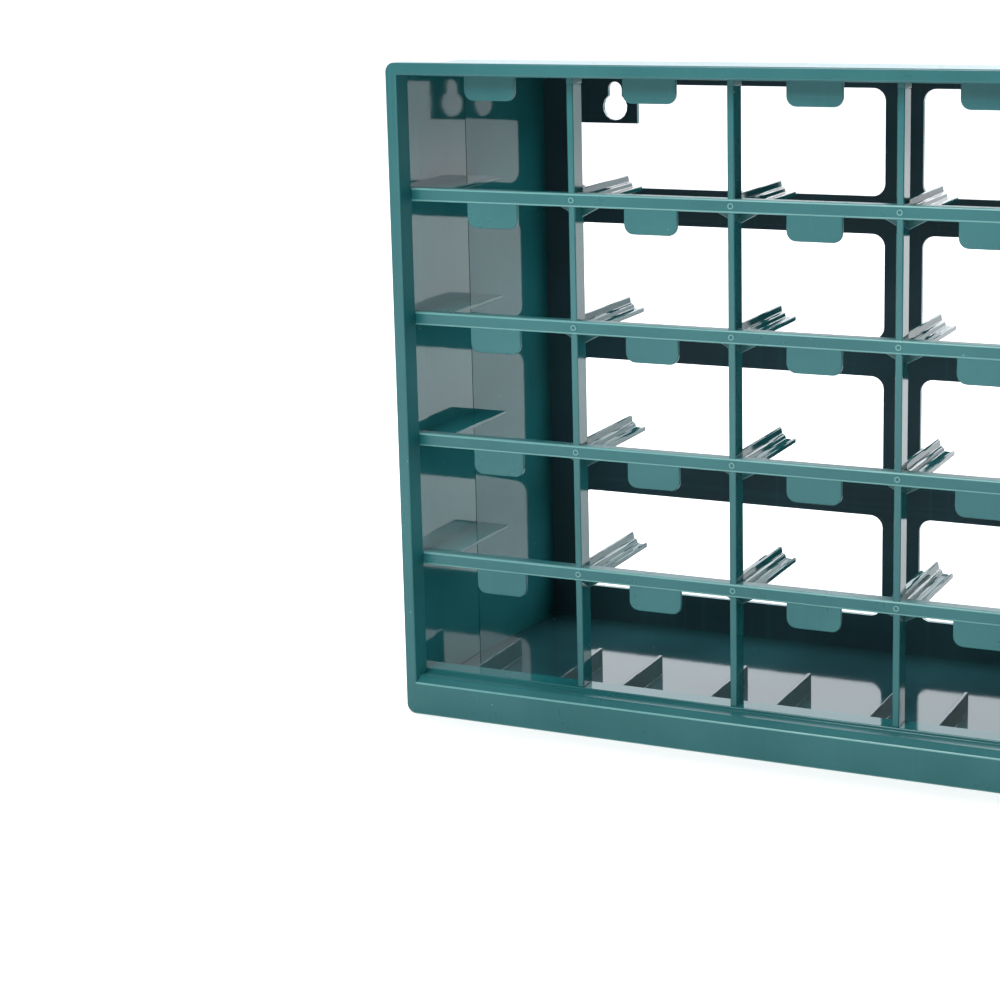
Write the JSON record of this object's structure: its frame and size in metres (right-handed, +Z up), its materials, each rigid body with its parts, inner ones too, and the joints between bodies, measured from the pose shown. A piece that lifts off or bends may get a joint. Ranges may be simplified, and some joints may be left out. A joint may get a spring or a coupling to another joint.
{
  "type": "small-parts drawer cabinet",
  "caption": "Wall-hung cabinet for small-parts drawers: glossy teal grid of open cells with stop tabs, runners and a windowed back, and clear sliding drawers.",
  "frame": {"origin": "middle of the cabinet's base, in the plane it stands on", "axes": "+X to the right seen from the front, +Y towards the back panel, +Z up; the open front faces -Y"},
  "size_m": [0.3226, 0.116, 0.2475],
  "materials": {
    "teal_plastic": "glossy moulded plastic, dark teal green",
    "clear_plastic": "clear moulded polystyrene"
  },
  "bodies": {
    "cabinet": {"rim_top": "teal_plastic", "rim_bottom": "teal_plastic", "rim_left": "teal_plastic", "rim_right": "teal_plastic", "rail_1": "teal_plastic", "rail_2": "teal_plastic", "rail_3": "teal_plastic", "rail_4": "teal_plastic", "divider_1": "teal_plastic", "divider_2": "teal_plastic", "divider_3": "teal_plastic", "divider_4": "teal_plastic", "runner_1_1": "teal_plastic", "runner_1_2": "teal_plastic", "runner_1_3": "teal_plastic", "runner_1_4": "teal_plastic", "runner_2_1": "teal_plastic", "runner_2_2": "teal_plastic", "runner_2_3": "teal_plastic", "runner_2_4": "teal_plastic", "runner_3_1": "teal_plastic", "runner_3_2": "teal_plastic", "runner_3_3": "teal_plastic", "runner_3_4": "teal_plastic", "runner_4_1": "teal_plastic", "runner_4_2": "teal_plastic", "runner_4_3": "teal_plastic", "runner_4_4": "teal_plastic", "left_shelf_1": "teal_plastic", "left_shelf_2": "teal_plastic", "left_shelf_3": "teal_plastic", "left_shelf_4": "teal_plastic", "right_shelf_1": "teal_plastic", "right_shelf_2": "teal_plastic", "right_shelf_3": "teal_plastic", "right_shelf_4": "teal_plastic", "front_top": "teal_plastic", "front_left_wall": "teal_plastic", "front_right_wall": "teal_plastic", "front_floor": "teal_plastic", "rear_left_wall": "teal_plastic", "rear_right_wall": "teal_plastic", "rear_top": "teal_plastic", "rear_floor": "teal_plastic", "back_panel": "teal_plastic"},
    "drawer_1": {"drawer_1": "clear_plastic"},
    "drawer_2": {"drawer_2": "clear_plastic"},
    "drawer_3": {"drawer_3": "clear_plastic"},
    "drawer_4": {"drawer_4": "clear_plastic"},
    "drawer_5": {"drawer_5": "clear_plastic"}
  },
  "joints": [
    {"name": "drawer_1_slide", "type": "slide", "parent": "cabinet", "child": "drawer_1", "axis": [0, -1, 0], "range_m": [0, 0.1]},
    {"name": "drawer_2_slide", "type": "slide", "parent": "cabinet", "child": "drawer_2", "axis": [0, -1, 0], "range_m": [0, 0.1]},
    {"name": "drawer_3_slide", "type": "slide", "parent": "cabinet", "child": "drawer_3", "axis": [0, -1, 0], "range_m": [0, 0.1]},
    {"name": "drawer_4_slide", "type": "slide", "parent": "cabinet", "child": "drawer_4", "axis": [0, -1, 0], "range_m": [0, 0.1]},
    {"name": "drawer_5_slide", "type": "slide", "parent": "cabinet", "child": "drawer_5", "axis": [0, -1, 0], "range_m": [0, 0.1]}
  ]
}
